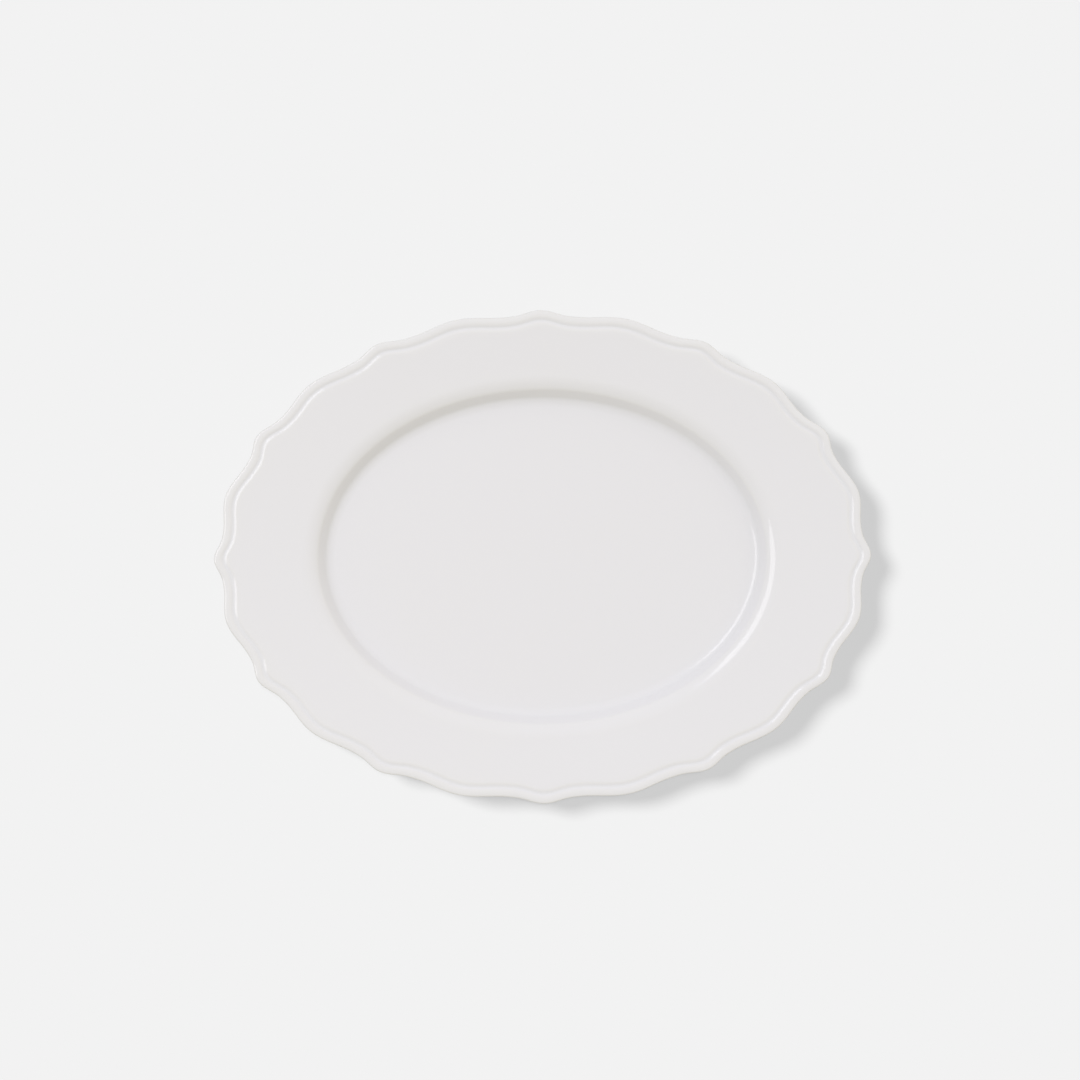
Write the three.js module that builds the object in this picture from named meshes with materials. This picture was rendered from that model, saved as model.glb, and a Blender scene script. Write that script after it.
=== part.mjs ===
// Oval serving platter with a scalloped, beaded edge: a fired clay body under a coat of white glaze.
// Sizes are millimetres and angles are degrees. +X runs along the platter, +Z is up, and the foot
// ring stands on z = 0.
import * as THREE from "three";

// Outline, over the glaze
const platterLength = 305;
const platterWidth = 229;
const platterHeight = 19;

// Scallops: a narrow crest, a dip and a broad lobe between each two crests
const crestCount = 12;
const crestShare = 0.44; // how far the dip is from its crest, as a share of the way to the lobe's middle
const crestSharpness = 1.6;
const dipDepthEnds = 3.4;
const dipDepthSides = 2.5;
const lobeShare = 0.86; // how much of the dip's depth the lobe wins back

// Well, measured at the middle of the straight wall in the cove round it
const wellLength = 206;
const wellWidth = 152.6;
const floorCurveRadius = 8; // the floor curves gently up to the cove's bottom bend
const floorCurveAngle = 24;
const coveBottomRadius = 4.4;
const coveAngle = 52;
const coveWallWidth = 2.3; // seen from above
const coveTopRadius = 5;
const rimCurveAngle = 30; // where the cove's top bend eases into the gentle curve of the rim
const rimCurveRadius = 14;

// Bead along the edge, from its outer corner inward, and the groove that sets it off from the rim
const lipUnderRadius = 3.4;
const edgeRadius = 0.8;
const crownAngle = 14;
const crownRadius = 6;
const beadRadius = 4.1;
const beadFlankAngle = 28;
const grooveRadius = 1.5;
const rollFootRadius = 2.5;
const rollAngle = 18;
const rollRadius = 4;

// Thicknesses, the base and wall with their glaze
const baseThickness = 4.8;
const wallThickness = 4.4;
const underCoveRadius = 5;
const glazeThickness = 0.4;

// Foot ring, bare where it meets the table
const footRecess = 3.2; // the base inside the ring, above the table
const footWidth = 3.4;
const footSetback = 4; // middle of the ring's flat, inside the well's outline
const footWallAngle = 75;
const footEdgeRadius = 0.8;
const footFilletRadius = 2;
const glazeLine = 1.2; // height at which the glaze stops on the ring

// Steps that the round stretches are drawn with
const halfScallopSteps = 5;
const crestCrowding = 1.25; // above 1 the steps crowd towards the crest

const sin = (degrees) => Math.sin(THREE.MathUtils.degToRad(degrees));
const cos = (degrees) => Math.cos(THREE.MathUtils.degToRad(degrees));
const tan = (degrees) => Math.tan(THREE.MathUtils.degToRad(degrees));

const pitch = 360 / crestCount;
const wellTop = footRecess + baseThickness;

// Depth of the outline inside the crests' oval, from 0 on a crest to 1 in a dip.
function dipAt(theta) {
  const fromCrest = Math.abs(theta - pitch * Math.round(theta / pitch));
  const share = fromCrest / (pitch / 2);
  if (share < crestShare) {
    return 1 - ((1 + cos((180 * share) / crestShare)) / 2) ** crestSharpness;
  }
  return 1 - (lobeShare * (1 + cos((180 * (1 - share)) / (1 - crestShare)))) / 2;
}

// A section's points hold a distance outward from an anchor outline, a height and the direction of
// travel: 0 is outward, 90 is up, and -180 is inward along the underside.
function arc(start, radius, toAngle, steps) {
  const turn = Math.sign(toAngle - start.angle);
  return Array.from({ length: steps }, (_, i) => {
    const angle = start.angle + ((toAngle - start.angle) * (i + 1)) / steps;
    return {
      anchor: start.anchor,
      out: start.out + turn * radius * (sin(angle) - sin(start.angle)),
      z: start.z + turn * radius * (cos(start.angle) - cos(angle)),
      angle,
    };
  });
}

function along(point, distance) {
  return {
    ...point,
    out: point.out + distance * cos(point.angle),
    z: point.z + distance * sin(point.angle),
  };
}

// Where the line on from a point meets the line through another.
function meeting(point, other) {
  const across = (other.out - point.out) * sin(other.angle) - (other.z - point.z) * cos(other.angle);
  return along(point, across / sin(other.angle - point.angle));
}

// The point straight into the wall by this depth.
function sunk(point, depth) {
  return {
    ...point,
    out: point.out + depth * sin(point.angle),
    z: point.z - depth * cos(point.angle),
  };
}

const behindGlaze = (point) => sunk(point, glazeThickness);
const inFrontOfClay = (point) => sunk(point, -glazeThickness);

// The point on the underside, with its line turned back inward.
const undersideOf = (point) => ({ ...sunk(point, wallThickness), angle: point.angle - 180 });

// The cove from the flat of the well up to a rim that slopes at this angle.
function coveUpTo(rimAngle) {
  const floorSpan = floorCurveRadius * sin(floorCurveAngle);
  const bottomSpan = coveBottomRadius * (sin(coveAngle) - sin(floorCurveAngle));
  const start = { anchor: "well", out: -coveWallWidth / 2 - bottomSpan - floorSpan, z: wellTop, angle: 0 };
  const bottom = [start, ...arc(start, floorCurveRadius, floorCurveAngle, 2)];
  bottom.push(...arc(bottom.at(-1), coveBottomRadius, coveAngle, 2));
  const top = [along(bottom.at(-1), coveWallWidth / cos(coveAngle))];
  top.push(...arc(top[0], coveTopRadius, rimCurveAngle, 2));
  top.push(...arc(top.at(-1), rimCurveRadius, rimAngle, 3));
  return { bottom, top };
}

// Where the rolled edge begins, on a crest or lower by this drop.
function rollStartAt(rimAngle, drop = 0) {
  const crownWidth = edgeRadius * (1 - sin(crownAngle)) + crownRadius * sin(crownAngle);
  const flankWidth = (beadRadius + grooveRadius) * sin(beadFlankAngle);
  const flankDrop = (beadRadius + grooveRadius) * (1 - cos(beadFlankAngle));
  const rollWidth = rollFootRadius * sin(rollAngle) + rollRadius * (sin(rollAngle) + sin(rimAngle));
  const rollRise = rollFootRadius * (1 - cos(rollAngle)) + rollRadius * (cos(rimAngle) - cos(rollAngle));
  return {
    anchor: "edge",
    out: -crownWidth - flankWidth - rollWidth,
    z: platterHeight - flankDrop + rollRise - drop,
    angle: rimAngle,
  };
}

// Semi-axes of the outline that a point is anchored to, in the direction theta.
function semiAxes(anchor, theta) {
  if (anchor === "well") {
    return [wellLength / 2, wellWidth / 2];
  }
  const dip = anchor === "edge" ? dipAt(theta) : 0;
  return [platterLength / 2 - dipDepthEnds * dip, platterWidth / 2 - dipDepthSides * dip];
}

function place(point, theta) {
  const [a, b] = semiAxes(point.anchor, theta);
  return new THREE.Vector3((a + point.out) * cos(theta), (b + point.out) * sin(theta), point.z);
}

// The slope at which the rim runs straight from the cove's shoulder to the plain oval of the crests.
function rimAngleAt(theta) {
  let rimAngle = 0;
  for (let round = 0; round < 8; round++) {
    const from = place(coveUpTo(rimAngle).top.at(-1), theta);
    const to = place({ ...rollStartAt(rimAngle), anchor: "crests" }, theta);
    const span = Math.hypot(to.x - from.x, to.y - from.y);
    rimAngle = THREE.MathUtils.radToDeg(Math.atan2(to.z - from.z, span));
  }
  return rimAngle;
}

// How much lower the edge is than on a crest, so that the rim stays one smooth face.
function edgeDropAt(theta, rimAngle) {
  const inset = dipAt(theta) * Math.hypot(dipDepthEnds * cos(theta), dipDepthSides * sin(theta));
  return inset * tan(rimAngle);
}

// Foot ring in bare clay, from the outer glaze line round its flat to the inner glaze line.
const footFlatOuter = { anchor: "well", out: -footSetback + footWidth / 2, z: 0, angle: -180 };
const footFlatInner = { anchor: "well", out: -footSetback - footWidth / 2, z: 0, angle: -180 };
const outerWallAngle = -180 + footWallAngle;
const innerWallAngle = -180 - footWallAngle;
const wallFootHeight = footEdgeRadius * (1 - cos(footWallAngle));
const wallFootWidth = footEdgeRadius * sin(footWallAngle);
const outerWallFoot = {
  anchor: "well",
  out: footFlatOuter.out + wallFootWidth,
  z: wallFootHeight,
  angle: outerWallAngle,
};
const innerWallFoot = {
  anchor: "well",
  out: footFlatInner.out - wallFootWidth,
  z: wallFootHeight,
  angle: innerWallAngle,
};
const bareFoot = [
  outerWallFoot,
  ...arc(outerWallFoot, footEdgeRadius, -180, 2),
  footFlatInner,
  ...arc(footFlatInner, footEdgeRadius, innerWallAngle, 2),
];

// Glazed surface from the well's edge over the rim and round the bead to the glaze line below.
function upperSection(theta) {
  const rimAngle = rimAngleAt(theta);
  const { bottom, top } = coveUpTo(rimAngle);
  const points = [...bottom, ...top];
  const bend = (radius, toAngle, steps) => points.push(...arc(points.at(-1), radius, toAngle, steps));
  const roundInto = (line, radius, steps) => {
    const corner = meeting(points.at(-1), line);
    const tangent = radius * tan(Math.abs(line.angle - corner.angle) / 2);
    points.push(along(corner, -tangent));
    bend(radius, line.angle, steps);
  };
  points.push(rollStartAt(rimAngle, edgeDropAt(theta, rimAngle)));
  bend(rollRadius, -rollAngle, 2);
  bend(rollFootRadius, 0, 1);
  bend(grooveRadius, beadFlankAngle, 2);
  bend(beadRadius, 0, 2);
  bend(crownRadius, -crownAngle, 1);
  bend(edgeRadius, -90, 3);
  bend(lipUnderRadius, -180 + rimAngle, 4);
  points.push(undersideOf(top.at(-1)));
  roundInto(undersideOf(top[0]), underCoveRadius, 3);
  const wall = inFrontOfClay(outerWallFoot);
  roundInto(wall, footFilletRadius, 2);
  points.push(along(wall, -(glazeLine - wall.z) / sin(footWallAngle)));
  return points;
}

// Glazed surface inside the foot ring, from the inner glaze line to the edge of the flat base.
function baseSection() {
  const wall = inFrontOfClay(innerWallFoot);
  const tangent = footFilletRadius * tan(footWallAngle / 2);
  const wallEnd = along(wall, (footRecess - wall.z) / sin(footWallAngle) - tangent);
  return [
    along(wall, (glazeLine - wall.z) / sin(footWallAngle)),
    wallEnd,
    ...arc(wallEnd, footFilletRadius, -180, 3),
  ];
}

// Directions of the sections, in degrees. Rings that follow the scallops use them all, and rings on
// the plain oval use every second one.
const directions = [];
for (let crest = 0; crest < crestCount; crest++) {
  for (let step = 0; step < 2 * halfScallopSteps; step++) {
    const fromNearest = Math.min(step, 2 * halfScallopSteps - step) / halfScallopSteps;
    const turned = (pitch / 2) * fromNearest ** crestCrowding;
    directions.push(crest * pitch + (step <= halfScallopSteps ? turned : pitch - turned));
  }
}

// Turns one list of section points per direction into one ring of vertices per point.
function ringsOf(sections) {
  return sections[0].map((first, row) => {
    const stride = first.anchor === "edge" ? 1 : 2;
    const ring = [];
    for (let i = 0; i < directions.length; i += stride) {
      ring.push(place(sections[i][row], directions[i]));
    }
    return ring;
  });
}

const upperSections = directions.map(upperSection);
const glazedRings = ringsOf(upperSections);
const clayRings = ringsOf(upperSections.map((points) => points.map(behindGlaze)));
const bareFootRings = ringsOf(directions.map(() => bareFoot));
const baseSections = directions.map(baseSection);
const baseGlazedRings = ringsOf(baseSections);
const baseClayRings = ringsOf(baseSections.map((points) => points.map(behindGlaze)));

// Triangles between two rings. A ring may have twice the vertices of its neighbour. The diagonal is
// the same whichever ring comes first, so two bodies that share a surface share its triangles.
function strip(lower, upper, backward) {
  const triangles = [];
  const steps = Math.min(lower.length, upper.length);
  for (let i = 0; i < steps; i++) {
    const next = (i + 1) % steps;
    const lowerStart = lower[(i * lower.length) / steps];
    const lowerEnd = lower[(next * lower.length) / steps];
    const upperStart = upper[(i * upper.length) / steps];
    const upperEnd = upper[(next * upper.length) / steps];
    if (lower.length > steps) {
      const middle = lower[2 * i + 1];
      triangles.push([lowerStart, upperStart, middle]);
      triangles.push([middle, upperStart, upperEnd]);
      triangles.push([middle, upperEnd, lowerEnd]);
    } else if (upper.length > steps) {
      const middle = upper[2 * i + 1];
      triangles.push([lowerStart, upperStart, middle]);
      triangles.push([lowerStart, middle, lowerEnd]);
      triangles.push([lowerEnd, middle, upperEnd]);
    } else if (backward) {
      triangles.push([lowerStart, upperStart, lowerEnd], [upperStart, upperEnd, lowerEnd]);
    } else {
      triangles.push([lowerStart, upperStart, upperEnd], [lowerStart, upperEnd, lowerEnd]);
    }
  }
  return triangles;
}

// One closed body from rings that run from the axis outward and back to the axis underneath.
// The rings from backwardFrom to backwardTo are in the opposite order to the neighbour's.
function closedBody(rings, backwardFrom, backwardTo) {
  const positions = [];
  const indexOf = (vertex) => positions.push(vertex.x, vertex.y, vertex.z) / 3 - 1;
  const numbered = rings.map((ring) => ring.map(indexOf));
  const top = indexOf(new THREE.Vector3(0, 0, rings[0][0].z));
  const bottom = indexOf(new THREE.Vector3(0, 0, rings.at(-1)[0].z));
  const triangles = [];
  const first = numbered[0];
  const last = numbered.at(-1);
  first.forEach((vertex, i) => triangles.push([top, vertex, first[(i + 1) % first.length]]));
  for (let row = 0; row + 1 < numbered.length; row++) {
    const backward = row >= backwardFrom && row + 1 <= backwardTo;
    triangles.push(...strip(numbered[row], numbered[row + 1], backward));
  }
  last.forEach((vertex, i) => triangles.push([vertex, bottom, last[(i + 1) % last.length]]));
  const geometry = new THREE.BufferGeometry();
  geometry.setAttribute("position", new THREE.Float32BufferAttribute(positions, 3));
  geometry.setIndex(triangles.flat());
  geometry.computeVertexNormals();
  return geometry;
}

const whiteGlaze = new THREE.MeshStandardMaterial({ color: 0xe8e6e7, roughness: 0.1, metalness: 0 });
const firedClay = new THREE.MeshStandardMaterial({ color: 0xe6ded0, roughness: 0.85, metalness: 0 });

const clayGeometry = closedBody([...clayRings, ...bareFootRings, ...baseClayRings]);
const coatGeometry = closedBody(
  [...glazedRings, ...clayRings.toReversed()],
  glazedRings.length,
  2 * glazedRings.length - 1,
);
const baseGeometry = closedBody(
  [...baseClayRings.toReversed(), ...baseGlazedRings],
  0,
  baseClayRings.length - 1,
);

const group = new THREE.Group();
group.name = "oval_platter";
const addPart = (name, geometry, material) => {
  const mesh = new THREE.Mesh(geometry, material);
  mesh.name = name;
  group.add(mesh);
};
addPart("clay_body", clayGeometry, firedClay);
addPart("glaze_coat", coatGeometry, whiteGlaze);
addPart("base_glaze", baseGeometry, whiteGlaze.clone());

export default group;
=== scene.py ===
import bpy
import math
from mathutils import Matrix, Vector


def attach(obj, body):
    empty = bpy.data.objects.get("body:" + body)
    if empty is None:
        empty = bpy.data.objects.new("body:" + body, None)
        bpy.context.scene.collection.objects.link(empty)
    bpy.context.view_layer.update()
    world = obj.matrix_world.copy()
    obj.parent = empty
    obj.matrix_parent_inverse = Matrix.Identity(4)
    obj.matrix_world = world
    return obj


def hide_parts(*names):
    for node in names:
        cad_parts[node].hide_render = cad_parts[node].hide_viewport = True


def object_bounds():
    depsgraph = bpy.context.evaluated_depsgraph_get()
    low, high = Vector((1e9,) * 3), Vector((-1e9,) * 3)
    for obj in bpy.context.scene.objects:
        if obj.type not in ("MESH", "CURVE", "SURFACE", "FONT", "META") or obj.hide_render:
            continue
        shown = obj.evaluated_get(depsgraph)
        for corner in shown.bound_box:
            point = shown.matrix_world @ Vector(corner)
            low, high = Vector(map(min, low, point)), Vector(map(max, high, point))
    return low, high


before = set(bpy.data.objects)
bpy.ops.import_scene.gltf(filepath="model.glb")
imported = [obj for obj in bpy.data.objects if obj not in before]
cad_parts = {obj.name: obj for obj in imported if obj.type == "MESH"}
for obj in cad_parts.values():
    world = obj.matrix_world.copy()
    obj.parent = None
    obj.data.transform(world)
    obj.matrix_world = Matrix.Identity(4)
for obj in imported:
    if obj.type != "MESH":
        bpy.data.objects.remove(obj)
cadLow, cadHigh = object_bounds()
print("frame loaded, CAD box in mm:", [round(1000 * v, 2) for v in cadHigh - cadLow])

mm = 0.001


def hexToLinear(code):
    channels = [int(code[i:i + 2], 16) / 255 for i in (1, 3, 5)]
    linear = [c / 12.92 if c <= 0.04045 else ((c + 0.055) / 1.055) ** 2.4 for c in channels]
    return (*linear, 1.0)


# adds a node, sets its properties, then sets its inputs or links them to sockets or nodes
def addNode(tree, kind, inputs=None, **settings):
    node = tree.nodes.new(kind)
    for name, value in settings.items():
        setattr(node, name, value)
    for key, value in (inputs or {}).items():
        source = value.outputs[0] if isinstance(value, bpy.types.Node) else value
        if isinstance(source, bpy.types.NodeSocket):
            tree.links.new(source, node.inputs[key])
        else:
            node.inputs[key].default_value = source
    return node


# Section of the platter: sizes over the glaze, angles in degrees
section = {
    "floorCurveRadius": 8 * mm,
    "floorCurveAngle": 24,
    "coveBottomRadius": 4.4 * mm,
    "coveAngle": 52,
    "coveWallWidth": 2.3 * mm,
    "coveTopRadius": 5 * mm,
    "rimCurveAngle": 30,
    "rimCurveRadius": 14 * mm,
    "rimAngle": 5.4,
    "rollRadius": 4 * mm,
    "rollAngle": 18,
    "rollFootRadius": 2.5 * mm,
    "grooveRadius": 1.5 * mm,
    "beadFlankAngle": 28,
    "beadRadius": 4.1 * mm,
    "crownRadius": 6 * mm,
    "crownAngle": 14,
    "edgeRadius": 0.8 * mm,
    "lipUnderRadius": 3.4 * mm,
    "wellTop": 8 * mm,
    "wallThickness": 4.4 * mm,
    "underCoveRadius": 5 * mm,
    "glazeThickness": 0.4 * mm,
    "footRecess": 3.2 * mm,
    "footWidth": 3.4 * mm,
    "footSetback": 4 * mm,
    "footWallAngle": 75,
    "footEdgeRadius": 0.8 * mm,
    "footFilletRadius": 2 * mm,
    "glazeLine": 1.2 * mm,
    "glazeLipRadius": 0.3 * mm,
}

# How finely the section is drawn: degrees a step on its arcs, and steps along its straight stretches
drawn = {
    "floorCurve": 3,
    "cove": 4,
    "rimCurve": 2.5,
    "roll": 3,
    "bead": 4,
    "edge": 9,
    "lipUnder": 8,
    "underCove": 5,
    "footFillet": 6,
    "baseFillet": 8,
    "footEdge": 12,
    "glazeLip": 30,
    "floorSteps": 8,
    "rimSteps": 12,
    "underSteps": 8,
    "baseSteps": 8,
}


def sinOf(degrees):
    return math.sin(math.radians(degrees))


def cosOf(degrees):
    return math.cos(math.radians(degrees))


# a point of the section: distance outward from its oval, height, direction of travel (0 outward,
# -180 inward below), share of the edge oval in its own oval, share of the way from the axis,
# and how sharply the section bends there (above 0 in a hollow, below 0 over a ridge)
def sectionPoint(outward, height, angle, edgeShare=0.0, reach=1.0, bend=0.0):
    return {"outward": outward, "height": height, "angle": angle,
            "edgeShare": edgeShare, "reach": reach, "bend": bend}


def addArc(points, radius, toAngle, stepAngle):
    start = points[-1]
    swing = toAngle - start["angle"]
    turn = math.copysign(1, swing)
    steps = max(2, math.ceil(abs(swing) / stepAngle))
    for step in range(1, steps + 1):
        angle = start["angle"] + swing * step / steps
        outward = start["outward"] + turn * radius * (sinOf(angle) - sinOf(start["angle"]))
        height = start["height"] + turn * radius * (cosOf(start["angle"]) - cosOf(angle))
        points.append(sectionPoint(outward, height, angle, start["edgeShare"], 1.0, turn / radius))


def moved(point, distance):
    outward = point["outward"] + distance * cosOf(point["angle"])
    height = point["height"] + distance * sinOf(point["angle"])
    return {**point, "outward": outward, "height": height, "bend": 0.0}


# straight into the clay by this depth, or out of it if the depth is negative
def sunk(point, depth):
    outward = point["outward"] + depth * sinOf(point["angle"])
    height = point["height"] - depth * cosOf(point["angle"])
    return {**point, "outward": outward, "height": height}


# rounds the corner where the line on from the last point meets the line through another
def addRoundedCorner(points, other, radius, stepAngle):
    last = points[-1]
    turn = other["angle"] - last["angle"]
    across = (other["outward"] - last["outward"]) * sinOf(other["angle"])
    along = (other["height"] - last["height"]) * cosOf(other["angle"])
    tangent = radius * math.tan(math.radians(abs(turn) / 2))
    points.append(moved(last, (across - along) / sinOf(turn) - tangent))
    addArc(points, radius, other["angle"], stepAngle)


# the bare underside of the foot ring, from its outer wall to its inner one
def bareFoot(s):
    rise = s["footEdgeRadius"] * (1 - cosOf(s["footWallAngle"]))
    spread = s["footWidth"] / 2 + s["footEdgeRadius"] * sinOf(s["footWallAngle"])
    points = [sectionPoint(-s["footSetback"] + spread, rise, -180 + s["footWallAngle"])]
    addArc(points, s["footEdgeRadius"], -180, drawn["footEdge"])
    points.append(sectionPoint(-s["footSetback"] - s["footWidth"] / 2, 0, -180))
    addArc(points, s["footEdgeRadius"], -180 - s["footWallAngle"], drawn["footEdge"])
    return points


# where the rim ends and rolls over into the groove beside the bead
def rollStart(s):
    flank = s["beadRadius"] + s["grooveRadius"]
    span = s["edgeRadius"] * (1 - sinOf(s["crownAngle"])) + s["crownRadius"] * sinOf(s["crownAngle"])
    span += flank * sinOf(s["beadFlankAngle"]) + s["rollFootRadius"] * sinOf(s["rollAngle"])
    span += s["rollRadius"] * (sinOf(s["rollAngle"]) + sinOf(s["rimAngle"]))
    drop = flank * (1 - cosOf(s["beadFlankAngle"])) - s["rollFootRadius"] * (1 - cosOf(s["rollAngle"]))
    drop -= s["rollRadius"] * (cosOf(s["rimAngle"]) - cosOf(s["rollAngle"]))
    return sectionPoint(-span, cadHigh.z - drop, s["rimAngle"], 1.0)


# glazed surface from the well's centre over the rim and bead to the glaze line on the foot ring
def upperSurface(s):
    floorSpan = s["floorCurveRadius"] * sinOf(s["floorCurveAngle"])
    bottomSpan = s["coveBottomRadius"] * (sinOf(s["coveAngle"]) - sinOf(s["floorCurveAngle"]))
    coveStart = -s["coveWallWidth"] / 2 - bottomSpan - floorSpan
    floorSteps = drawn["floorSteps"]
    points = [sectionPoint(coveStart, s["wellTop"], 0, 0.0, step / floorSteps)
              for step in range(floorSteps + 1)]
    addArc(points, s["floorCurveRadius"], s["floorCurveAngle"], drawn["floorCurve"])
    addArc(points, s["coveBottomRadius"], s["coveAngle"], drawn["cove"])
    points.append(moved(points[-1], s["coveWallWidth"] / cosOf(s["coveAngle"])))
    wallTop = points[-1]
    addArc(points, s["coveTopRadius"], s["rimCurveAngle"], drawn["cove"])
    addArc(points, s["rimCurveRadius"], s["rimAngle"], drawn["rimCurve"])
    shoulder = points[-1]

    roll = rollStart(s)
    for step in range(1, drawn["rimSteps"]):
        share = step / drawn["rimSteps"]
        outward = shoulder["outward"] * (1 - share) + roll["outward"] * share
        height = shoulder["height"] * (1 - share) + roll["height"] * share
        points.append(sectionPoint(outward, height, s["rimAngle"], share))
    points.append(roll)
    addArc(points, s["rollRadius"], -s["rollAngle"], drawn["roll"])
    addArc(points, s["rollFootRadius"], 0, drawn["bead"])
    addArc(points, s["grooveRadius"], s["beadFlankAngle"], drawn["bead"])
    addArc(points, s["beadRadius"], 0, drawn["bead"])
    addArc(points, s["crownRadius"], -s["crownAngle"], drawn["bead"])
    addArc(points, s["edgeRadius"], -90, drawn["edge"])
    addArc(points, s["lipUnderRadius"], -180 + s["rimAngle"], drawn["lipUnder"])

    lipEnd = points[-1]
    under = sunk(shoulder, s["wallThickness"])
    for step in range(1, drawn["underSteps"]):
        share = 1 - step / drawn["underSteps"]
        outward = under["outward"] * (1 - share) + lipEnd["outward"] * share
        height = under["height"] * (1 - share) + lipEnd["height"] * share
        points.append(sectionPoint(outward, height, -180 + s["rimAngle"], share))
    points.append({**under, "angle": -180 + s["rimAngle"], "bend": 0.0})

    underWall = {**sunk(wallTop, s["wallThickness"]), "angle": -180 + s["coveAngle"]}
    wall = sunk(bareFoot(s)[0], -s["glazeThickness"])
    addRoundedCorner(points, underWall, s["underCoveRadius"], drawn["underCove"])
    addRoundedCorner(points, wall, s["footFilletRadius"], drawn["footFillet"])
    points.append(moved(wall, (wall["height"] - s["glazeLine"]) / sinOf(s["footWallAngle"])))
    return points, shoulder


# glazed surface inside the foot ring, from the glaze line to the centre of the base
def baseSurface(s):
    wall = sunk(bareFoot(s)[-1], -s["glazeThickness"])
    wallLength = (s["footRecess"] - wall["height"]) / sinOf(s["footWallAngle"])
    tangent = s["footFilletRadius"] * math.tan(math.radians(s["footWallAngle"] / 2))
    points = [moved(wall, (s["glazeLine"] - wall["height"]) / sinOf(s["footWallAngle"]))]
    points.append(moved(wall, wallLength - tangent))
    addArc(points, s["footFilletRadius"], -180, drawn["baseFillet"])
    edge = points[-1]
    baseSteps = drawn["baseSteps"]
    points += [{**edge, "reach": 1 - step / baseSteps, "bend": 0.0} for step in range(1, baseSteps + 1)]
    return points


# the hidden joint of the clay and the upper coat is drawn with every third point of the surface
upperFace, rimFoot = upperSurface(section)
upperJoint = upperFace[:-1:3] + upperFace[-1:]
upperClay = [sunk(point, section["glazeThickness"]) for point in upperJoint]
baseFace = baseSurface(section)
baseClay = [sunk(point, section["glazeThickness"]) for point in baseFace]
print("section drawn:", len(upperFace), "points above,", len(baseFace), "inside the foot ring")


# Outline that every section is swept round
outline = {
    "halfLength": (cadHigh.x - cadLow.x) / 2,
    "halfWidth": (cadHigh.y - cadLow.y) / 2,
    "wellHalfLength": 103 * mm,
    "wellHalfWidth": 76.3 * mm,
    "crests": 12,
    "crestShare": 0.44,
    "crestSharpness": 1.6,
    "dipAtEnds": 3.4 * mm,
    "dipAtSides": 2.5 * mm,
    "lobeShare": 0.86,
    "steps": 480,
}
mergedWithin = 0.001 * mm


# the edge is lower where its outline dips, so that the rim stays one smooth slope
def dropAt(dip, rimWidth):
    rimEnd = rollStart(section)
    slope = (rimEnd["height"] - rimFoot["height"]) / (rimWidth + rimEnd["outward"] - rimFoot["outward"])
    return dip * slope


outline["dropAtEnds"] = dropAt(outline["dipAtEnds"], outline["halfLength"] - outline["wellHalfLength"])
outline["dropAtSides"] = dropAt(outline["dipAtSides"], outline["halfWidth"] - outline["wellHalfWidth"])


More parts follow.
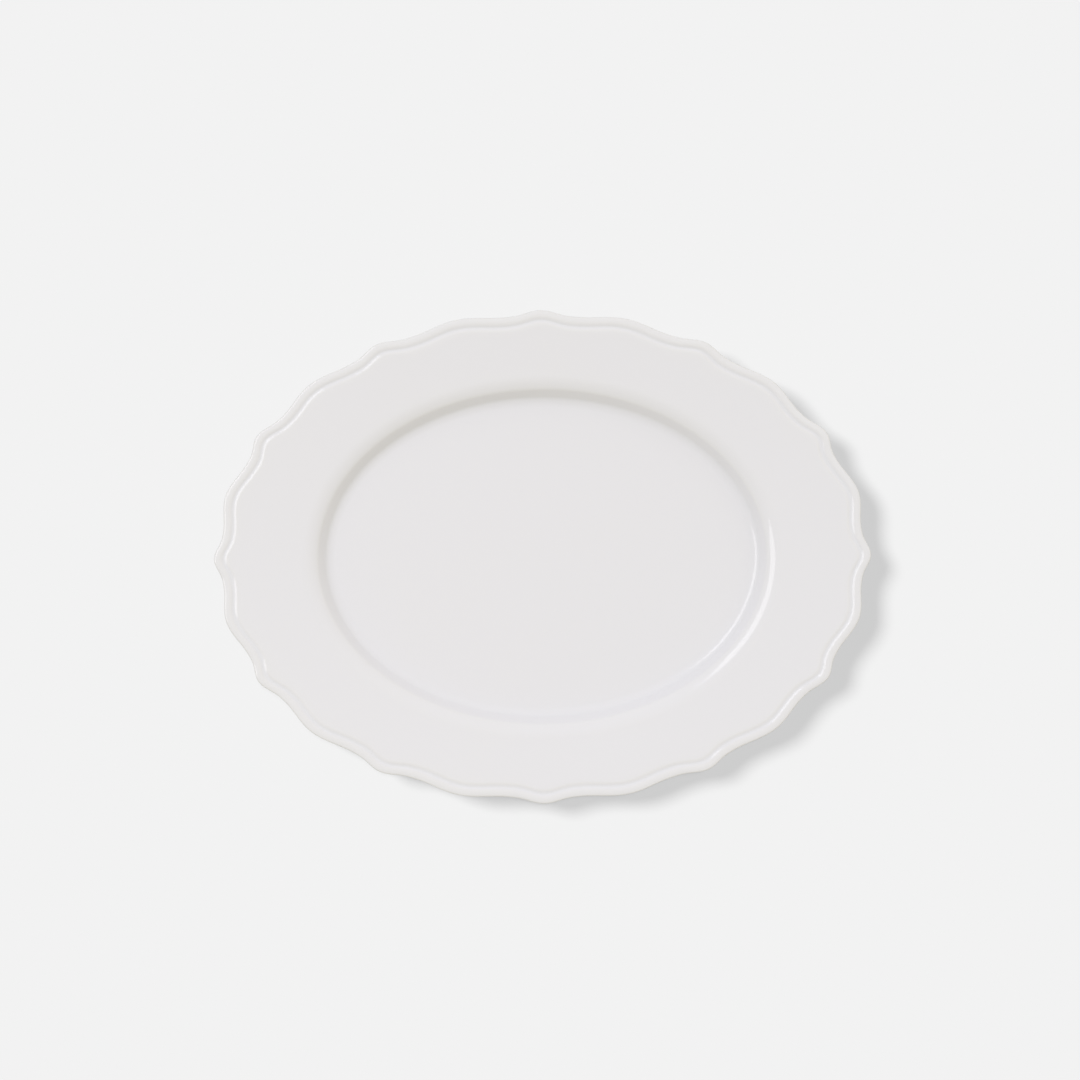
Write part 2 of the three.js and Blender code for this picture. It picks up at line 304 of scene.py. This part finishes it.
# Geometry Nodes: sweeps a section round the scalloped oval
def makeSweepTree():
    tree = bpy.data.node_groups.new("sweepRoundScallopedOval", "GeometryNodeTree")
    tree.interface.new_socket("Section", in_out="INPUT", socket_type="NodeSocketGeometry")
    for name, value in outline.items():
        kind = "NodeSocketInt" if name == "steps" else "NodeSocketFloat"
        tree.interface.new_socket(name, in_out="INPUT", socket_type=kind).default_value = value
    tree.interface.new_socket("Finish", in_out="INPUT", socket_type="NodeSocketMaterial")
    tree.interface.new_socket("Swept", in_out="OUTPUT", socket_type="NodeSocketGeometry")
    given = addNode(tree, "NodeGroupInput").outputs

    # direction of each step round the oval
    path = addNode(tree, "GeometryNodeCurvePrimitiveCircle", {"Resolution": given["steps"]})
    index = addNode(tree, "GeometryNodeInputIndex")
    turnShare = addNode(tree, "ShaderNodeMath", {0: index, 1: given["steps"]}, operation="DIVIDE")
    turned = addNode(tree, "ShaderNodeMath", {0: turnShare, 1: math.tau}, operation="MULTIPLY")
    marked = addNode(tree, "GeometryNodeStoreNamedAttribute",
                     {"Geometry": path, "Name": "theta", "Value": turned},
                     data_type="FLOAT", domain="POINT")
    profile = addNode(tree, "GeometryNodeMeshToCurve", {"Mesh": given["Section"]})
    swept = addNode(tree, "GeometryNodeCurveToMesh", {"Curve": marked, "Profile Curve": profile})

    # way from a crest to the middle of a lobe, 0 to 1
    theta = addNode(tree, "GeometryNodeInputNamedAttribute", {"Name": "theta"}, data_type="FLOAT")
    halfPitch = addNode(tree, "ShaderNodeMath", {0: math.pi, 1: given["crests"]}, operation="DIVIDE")
    folded = addNode(tree, "ShaderNodeMath", {0: theta, 1: halfPitch}, operation="PINGPONG")
    share = addNode(tree, "ShaderNodeMath", {0: folded, 1: halfPitch}, operation="DIVIDE")

    # height of the narrow crest, 1 at its top and 0 in the dip
    crestWay = addNode(tree, "ShaderNodeMath", {0: share, 1: given["crestShare"]}, operation="DIVIDE")
    crestTurn = addNode(tree, "ShaderNodeMath", {0: crestWay, 1: math.pi}, operation="MULTIPLY")
    crestWave = addNode(tree, "ShaderNodeMath", {0: crestTurn}, operation="COSINE")
    crestRise = addNode(tree, "ShaderNodeMath", {0: crestWave, 1: 0.5, 2: 0.5}, operation="MULTIPLY_ADD")
    crest = addNode(tree, "ShaderNodeMath", {0: crestRise, 1: given["crestSharpness"]}, operation="POWER")

    # height of the broad lobe, 0 in the dip
    lobeLeft = addNode(tree, "ShaderNodeMath", {0: 1.0, 1: share}, operation="SUBTRACT")
    lobeSpan = addNode(tree, "ShaderNodeMath", {0: 1.0, 1: given["crestShare"]}, operation="SUBTRACT")
    lobeWay = addNode(tree, "ShaderNodeMath", {0: lobeLeft, 1: lobeSpan}, operation="DIVIDE")
    lobeTurn = addNode(tree, "ShaderNodeMath", {0: lobeWay, 1: math.pi}, operation="MULTIPLY")
    lobeWave = addNode(tree, "ShaderNodeMath", {0: lobeTurn}, operation="COSINE")
    lobeRise = addNode(tree, "ShaderNodeMath", {0: lobeWave, 1: 0.5, 2: 0.5}, operation="MULTIPLY_ADD")
    lobe = addNode(tree, "ShaderNodeMath", {0: lobeRise, 1: given["lobeShare"]}, operation="MULTIPLY")

    # depth of the outline inside the crests' oval, 0 on a crest and 1 in a dip
    onCrest = addNode(tree, "ShaderNodeMath", {0: share, 1: given["crestShare"]}, operation="LESS_THAN")
    raised = addNode(tree, "ShaderNodeMix", {"Factor": onCrest, "A": lobe, "B": crest})
    dip = addNode(tree, "ShaderNodeMath", {0: 1.0, 1: raised}, operation="SUBTRACT")

    # the well's oval gives way to the edge's as a section crosses the rim
    edgeShare = addNode(tree, "GeometryNodeInputNamedAttribute", {"Name": "edgeShare"}, data_type="FLOAT")
    outward = addNode(tree, "GeometryNodeInputNamedAttribute", {"Name": "outward"}, data_type="FLOAT")
    reach = addNode(tree, "GeometryNodeInputNamedAttribute", {"Name": "reach"}, data_type="FLOAT")
    height = addNode(tree, "GeometryNodeInputNamedAttribute", {"Name": "height"}, data_type="FLOAT")
    axes = []
    drops = []
    for well, edge, depth, drop, wave in (
            ("wellHalfLength", "halfLength", "dipAtEnds", "dropAtEnds", "COSINE"),
            ("wellHalfWidth", "halfWidth", "dipAtSides", "dropAtSides", "SINE")):
        dipped = addNode(tree, "ShaderNodeMath", {0: dip, 1: given[depth]}, operation="MULTIPLY")
        scalloped = addNode(tree, "ShaderNodeMath", {0: given[edge], 1: dipped}, operation="SUBTRACT")
        oval = addNode(tree, "ShaderNodeMix", {"Factor": edgeShare, "A": given[well], "B": scalloped})
        offset = addNode(tree, "ShaderNodeMath", {0: oval, 1: outward}, operation="ADD")
        reached = addNode(tree, "ShaderNodeMath", {0: offset, 1: reach}, operation="MULTIPLY")
        turnedAxis = addNode(tree, "ShaderNodeMath", {0: theta}, operation=wave)
        axes.append(addNode(tree, "ShaderNodeMath", {0: reached, 1: turnedAxis}, operation="MULTIPLY"))
        drops.append(addNode(tree, "ShaderNodeMath", {0: given[drop], 1: turnedAxis}, operation="MULTIPLY"))
    fullDrop = addNode(tree, "ShaderNodeCombineXYZ", {"X": drops[0], "Y": drops[1]})
    dropSize = addNode(tree, "ShaderNodeVectorMath", {0: fullDrop}, operation="LENGTH").outputs["Value"]
    dipDrop = addNode(tree, "ShaderNodeMath", {0: dropSize, 1: dip}, operation="MULTIPLY")
    edgeDrop = addNode(tree, "ShaderNodeMath", {0: dipDrop, 1: edgeShare}, operation="MULTIPLY")
    level = addNode(tree, "ShaderNodeMath", {0: height, 1: edgeDrop}, operation="SUBTRACT")
    place = addNode(tree, "ShaderNodeCombineXYZ", {"X": axes[0], "Y": axes[1], "Z": level})
    shaped = addNode(tree, "GeometryNodeSetPosition", {"Geometry": swept, "Position": place})
    closed = addNode(tree, "GeometryNodeMergeByDistance", {"Geometry": shaped, "Distance": mergedWithin})
    smooth = addNode(tree, "GeometryNodeSetShadeSmooth", {"Geometry": closed})
    whole = addNode(tree, "GeometryNodeRealizeInstances", {"Geometry": smooth})
    finished = addNode(tree, "GeometryNodeSetMaterial", {"Geometry": whole, "Material": given["Finish"]})
    addNode(tree, "NodeGroupOutput", {"Swept": finished})
    return tree


sweepTree = makeSweepTree()


# Glaze gathers in hollows and thins over ridges: its depth goes from 0 to 1
glazeDepth = {"usual": 0.5, "gatherRadius": 0.9 * mm, "smoothings": 3}


def glazeDepths(points):
    usual = glazeDepth["usual"]
    gathered = [glazeDepth["gatherRadius"] * point["bend"] for point in points]
    depths = [usual + max(-usual, min(usual, change)) for change in gathered]
    for _ in range(glazeDepth["smoothings"]):
        padded = [depths[0], *depths, depths[-1]]
        depths = [(padded[i] + padded[i + 1] + padded[i + 2]) / 3 for i in range(len(points))]
    return depths


def sweepPiece(name, points, depths, material):
    chain = bpy.data.meshes.new(name + "Section")
    chain.from_pydata([(p["outward"], 0, p["height"]) for p in points],
                      [(i, i + 1) for i in range(len(points) - 1)], [])
    columns = {key: [p[key] for p in points] for key in ("outward", "height", "edgeShare", "reach")}
    columns["glazeDepth"] = depths
    for key, values in columns.items():
        chain.attributes.new(key, "FLOAT", "POINT").data.foreach_set("value", values)
    source = bpy.data.objects.new(name + "Source", chain)
    bpy.context.scene.collection.objects.link(source)
    sweep = source.modifiers.new("sweep", "NODES")
    sweep.node_group = sweepTree
    for socket in sweepTree.interface.items_tree:
        if socket.in_out == "INPUT" and socket.name in outline:
            sweep[socket.identifier] = outline[socket.name]
        if socket.in_out == "INPUT" and socket.name == "Finish":
            sweep[socket.identifier] = material
    evaluated = source.evaluated_get(bpy.context.evaluated_depsgraph_get())
    mesh = bpy.data.meshes.new_from_object(evaluated)
    mesh.name = name
    bpy.data.objects.remove(source)
    piece = bpy.data.objects.new(name, mesh)
    bpy.context.scene.collection.objects.link(piece)
    print("swept", name, len(mesh.vertices), "vertices,", len(mesh.polygons), "faces")
    return piece


# most values of a noise texture lie between these two
noiseLow = 0.3
noiseHigh = 0.7


# White tableware glaze, fired glossy: an opaque white glass that mirrors softly, a little warmer
# where it thins over a ridge and a shade greyer where it gathers in a hollow
def makeWhiteGlaze():
    glaze = {"usual": "#e8e6e7", "thin": "#e9e7e4", "pooled": "#e7e6e7",
             "roughness": 0.08, "roughnessSpread": 0.02, "ior": 1.5,
             "clouds": 45 * mm, "cloudDrift": 0.24, "ripple": 7 * mm, "rippleHeight": 0.05 * mm}
    material = bpy.data.materials.new("whiteGlaze")
    material.use_nodes = True
    tree = material.node_tree
    shader = tree.nodes["Principled BSDF"]
    shader.inputs["IOR"].default_value = glaze["ior"]
    place = addNode(tree, "ShaderNodeTexCoord").outputs["Object"]
    depth = addNode(tree, "ShaderNodeAttribute", attribute_name="glazeDepth").outputs["Fac"]
    clouds = addNode(tree, "ShaderNodeTexNoise",
                     {"Vector": place, "Scale": 1 / glaze["clouds"], "Detail": 3.0, "Roughness": 0.55})
    drift = addNode(tree, "ShaderNodeMath",
                    {0: clouds.outputs["Fac"], 1: glaze["cloudDrift"], 2: -glaze["cloudDrift"] / 2},
                    operation="MULTIPLY_ADD").outputs[0]
    drifted = addNode(tree, "ShaderNodeMath", {0: depth, 1: drift}, operation="ADD").outputs[0]
    tint = addNode(tree, "ShaderNodeValToRGB", {"Fac": drifted})
    tint.color_ramp.elements[0].color = hexToLinear(glaze["thin"])
    tint.color_ramp.elements[1].color = hexToLinear(glaze["pooled"])
    tint.color_ramp.elements.new(glazeDepth["usual"]).color = hexToLinear(glaze["usual"])
    tree.links.new(tint.outputs["Color"], shader.inputs["Base Color"])
    gloss = addNode(tree, "ShaderNodeMapRange",
                    {"Value": clouds.outputs["Fac"], "From Min": noiseLow, "From Max": noiseHigh,
                     "To Min": glaze["roughness"] - glaze["roughnessSpread"],
                     "To Max": glaze["roughness"] + glaze["roughnessSpread"]})
    tree.links.new(gloss.outputs["Result"], shader.inputs["Roughness"])
    ripple = addNode(tree, "ShaderNodeTexNoise",
                     {"Vector": place, "Scale": 1 / glaze["ripple"], "Detail": 1.0, "Roughness": 0.4})
    bump = addNode(tree, "ShaderNodeBump",
                   {"Height": ripple.outputs["Fac"], "Strength": 0.5, "Distance": glaze["rippleHeight"]})
    tree.links.new(bump.outputs["Normal"], shader.inputs["Normal"])
    return material


# Fired earthenware, wiped bare of glaze: a matt cream body with fine grit and a rubbed, darker grain
def makeFiredClay():
    clay = {"pale": "#ebe3d4", "deep": "#d8cbb6", "paleAbove": 0.85, "deepBelow": 0.45,
            "roughness": 0.85, "rubbedSmoother": 0.12, "ior": 1.5,
            "grit": 0.9 * mm, "gritShare": 0.35, "gritHeight": 0.08 * mm, "clouds": 14 * mm}
    material = bpy.data.materials.new("firedClay")
    material.use_nodes = True
    tree = material.node_tree
    shader = tree.nodes["Principled BSDF"]
    shader.inputs["IOR"].default_value = clay["ior"]
    place = addNode(tree, "ShaderNodeTexCoord").outputs["Object"]
    clouds = addNode(tree, "ShaderNodeTexNoise",
                     {"Vector": place, "Scale": 1 / clay["clouds"], "Detail": 6.0, "Roughness": 0.65})
    grit = addNode(tree, "ShaderNodeTexNoise",
                   {"Vector": place, "Scale": 1 / clay["grit"], "Detail": 2.0, "Roughness": 0.6})
    blend = addNode(tree, "ShaderNodeMath",
                    {0: grit.outputs["Fac"], 1: clay["gritShare"], 2: clouds.outputs["Fac"]},
                    operation="MULTIPLY_ADD").outputs[0]
    tint = addNode(tree, "ShaderNodeValToRGB", {"Fac": blend})
    tint.color_ramp.elements[0].position = clay["deepBelow"]
    tint.color_ramp.elements[0].color = hexToLinear(clay["deep"])
    tint.color_ramp.elements[1].position = clay["paleAbove"]
    tint.color_ramp.elements[1].color = hexToLinear(clay["pale"])
    tree.links.new(tint.outputs["Color"], shader.inputs["Base Color"])
    worn = addNode(tree, "ShaderNodeMapRange",
                   {"Value": clouds.outputs["Fac"], "From Min": noiseLow, "From Max": noiseHigh,
                    "To Min": clay["roughness"] - clay["rubbedSmoother"], "To Max": clay["roughness"]})
    tree.links.new(worn.outputs["Result"], shader.inputs["Roughness"])
    bump = addNode(tree, "ShaderNodeBump",
                   {"Height": grit.outputs["Fac"], "Strength": 0.6, "Distance": clay["gritHeight"]})
    tree.links.new(bump.outputs["Normal"], shader.inputs["Normal"])
    return material


whiteGlaze = makeWhiteGlaze()
firedClay = makeFiredClay()


# the coat ends on the foot ring in a rounded lip of glaze
def glazeLip(last, s):
    lip = [dict(last)]
    addArc(lip, s["glazeLipRadius"], last["angle"] - 90, drawn["glazeLip"])
    return lip[1:]


coatPoints = upperFace + glazeLip(upperFace[-1], section) + upperClay[::-1]
coatDepths = glazeDepths(coatPoints)
glazeCoat = sweepPiece("glazeCoat", coatPoints, coatDepths, whiteGlaze)
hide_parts("glaze_coat")

basePoints = baseClay[::-1] + baseFace
baseGlaze = sweepPiece("baseGlaze", basePoints, glazeDepths(basePoints), whiteGlaze)
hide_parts("base_glaze")

clayPoints = upperClay + bareFoot(section) + baseClay
clayBody = sweepPiece("clayBody", clayPoints, [glazeDepth["usual"]] * len(clayPoints), firedClay)
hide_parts("clay_body")

pieces = [glazeCoat, baseGlaze, clayBody]
for piece in pieces:
    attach(piece, "root")


# Pale table: mostly a plain glow that only the camera and reflections see, with painted shade (ambient
# occlusion) darkening the glow close to and under the platter.
# The rest is a faint matt colour under two strong lamps of its own, so that the shadow falls on it
stage = {"pale": "#f2f2f2", "matt": 0.05, "keyShare": 0.275, "highShare": 0.09,
         "paintedShadeWithin": 12 * mm, "paintedShadeSamples": 4, "size": 6.0}

# Studio lamps: shares of the light on a level surface for red, green and blue, and angles in degrees
softbox = {"shares": (0.165, 0.165, 0.168), "azimuth": 160, "fromZenith": 37,
           "distance": 4.0, "acrossAngle": 42, "highAngle": 19}
keyLamp = {"shares": (0.055, 0.068, 0.124), "azimuth": 134, "fromZenith": 37, "width": 18}
broadLamp = {"shares": (0.114, 0.112, 0.122), "azimuth": 42, "fromZenith": 50, "width": 80}
fillLamp = {"shares": (0.67, 0.658, 0.585), "azimuth": 0, "fromZenith": 0, "width": 178}
tableKey = {"shares": [stage["keyShare"] / stage["matt"]] * 3,
            "azimuth": 152, "fromZenith": 39, "width": 18.5}
tableHigh = {"shares": [stage["highShare"] / stage["matt"]] * 3,
             "azimuth": 72, "fromZenith": 7.5, "width": 8}


# 1 for the camera and for what shows in or through a surface, 0 for light thrown on one
def shownToEye(tree):
    light = addNode(tree, "ShaderNodeLightPath").outputs
    seen = addNode(tree, "ShaderNodeMath", {0: light["Is Camera Ray"], 1: light["Is Glossy Ray"]},
                   operation="MAXIMUM").outputs[0]
    return addNode(tree, "ShaderNodeMath", {0: seen, 1: light["Is Transmission Ray"]},
                   operation="MAXIMUM").outputs[0]


def makeTable():
    material = bpy.data.materials.new("paleTable")
    material.use_nodes = True
    tree = material.node_tree
    tree.nodes.clear()
    pale = hexToLinear(stage["pale"])
    own = [channel - stage["keyShare"] - stage["highShare"] for channel in pale[:3]]
    diffuse = addNode(tree, "ShaderNodeBsdfDiffuse", {"Color": (*[stage["matt"]] * 3, 1.0)})
    # painted shade: an ambient occlusion factor darkens the table's glow near and under the platter, as
    # contact shade
    paintedShadeFactor = addNode(tree, "ShaderNodeAmbientOcclusion", {"Distance": stage["paintedShadeWithin"]},
                      samples=stage["paintedShadeSamples"]).outputs["AO"]
    strength = addNode(tree, "ShaderNodeMath", {0: shownToEye(tree), 1: paintedShadeFactor}, operation="MULTIPLY")
    glow = addNode(tree, "ShaderNodeEmission", {"Color": (*own, 1.0), "Strength": strength})
    both = addNode(tree, "ShaderNodeAddShader", {0: diffuse.outputs[0], 1: glow.outputs[0]})
    addNode(tree, "ShaderNodeOutputMaterial", {"Surface": both.outputs[0]})
    half = stage["size"] / 2
    mesh = bpy.data.meshes.new("table")
    mesh.from_pydata([(-half, -half, 0), (half, -half, 0), (half, half, 0), (-half, half, 0)],
                     [], [(0, 1, 2, 3)])
    mesh.materials.append(material)
    table = bpy.data.objects.new("table", mesh)
    bpy.context.scene.collection.objects.link(table)
    return table


def aimLamp(light, lamp, receivers, distance=1.0):
    peak = max(lamp["shares"])
    light.color = [share / peak for share in lamp["shares"]]
    holder = bpy.data.objects.new(light.name, light)
    fromZenith = lamp["fromZenith"]
    azimuth = lamp["azimuth"]
    aside = distance * sinOf(fromZenith)
    holder.rotation_euler = (0, math.radians(fromZenith), math.radians(azimuth))
    holder.location = (aside * cosOf(azimuth), aside * sinOf(azimuth), distance * cosOf(fromZenith))
    holder.light_linking.receiver_collection = receivers
    bpy.context.scene.collection.objects.link(holder)
    return holder


# light on a surface that faces the lamp, for its share on a level one
def facingLight(lamp):
    return math.pi * max(lamp["shares"]) / cosOf(lamp["fromZenith"])


# a lamp that lights the surface but doesn't show in the glaze
def makeSun(name, lamp, receivers):
    light = bpy.data.lights.new(name, "SUN")
    light.energy = facingLight(lamp)
    light.angle = math.radians(lamp["width"])
    aimLamp(light, lamp, receivers).visible_glossy = False


# a long softbox, seen in the glaze as thin bright lines
def makeSoftbox(name, lamp, receivers):
    light = bpy.data.lights.new(name, "AREA")
    light.shape = "RECTANGLE"
    light.size = 2 * lamp["distance"] * math.tan(math.radians(lamp["highAngle"] / 2))
    light.size_y = 2 * lamp["distance"] * math.tan(math.radians(lamp["acrossAngle"] / 2))
    light.energy = facingLight(lamp) * math.pi * lamp["distance"] ** 2
    aimLamp(light, lamp, receivers, lamp["distance"])


def litGroup(name, objects):
    group = bpy.data.collections.new(name)
    for lit in objects:
        group.objects.link(lit)
    return group


def makeLights(table):
    platterGroup = litGroup("litPlatter", pieces)
    makeSoftbox("softboxLight", softbox, platterGroup)
    makeSun("keyLight", keyLamp, platterGroup)
    makeSun("broadLight", broadLamp, platterGroup)
    makeSun("fillLight", fillLamp, platterGroup)
    tableGroup = litGroup("litTable", [table])
    makeSun("tableKeyLight", tableKey, tableGroup)
    makeSun("tableHighLight", tableHigh, tableGroup)

    world = bpy.data.worlds.new("paleRoom")
    bpy.context.scene.world = world
    world.use_nodes = True
    tree = world.node_tree
    backdrop = tree.nodes["Background"]
    backdrop.inputs["Color"].default_value = hexToLinear(stage["pale"])
    tree.links.new(shownToEye(tree), backdrop.inputs["Strength"])


makeLights(makeTable())
print("table and lights placed")


# Camera straight above, placed in pixels of the square photograph
view = {
    "frame": 1080,
    "platterPixels": 657.3,
    "centrePixel": (542.4, 557.0),
    "turned": 0.4,
    "distance": 1.1,
    "lipDrop": 0.9 * mm,
    "sensor": 36,
}


def makeCamera():
    pixel = 2 * outline["halfLength"] / view["platterPixels"]
    across = view["frame"] * pixel
    camera = bpy.data.cameras.new("overhead")
    camera.sensor_width = view["sensor"]
    camera.lens = view["sensor"] * view["distance"] / across
    eye = bpy.data.objects.new("overhead", camera)
    middle = view["frame"] / 2
    eye.location = ((middle - view["centrePixel"][0]) * pixel, (view["centrePixel"][1] - middle) * pixel,
                    cadHigh.z - view["lipDrop"] + view["distance"])
    eye.rotation_euler = (0, 0, -math.radians(view["turned"]))
    bpy.context.scene.collection.objects.link(eye)
    bpy.context.scene.camera = eye


makeCamera()
bpy.context.scene.view_settings.view_transform = "Standard"
print("camera placed")
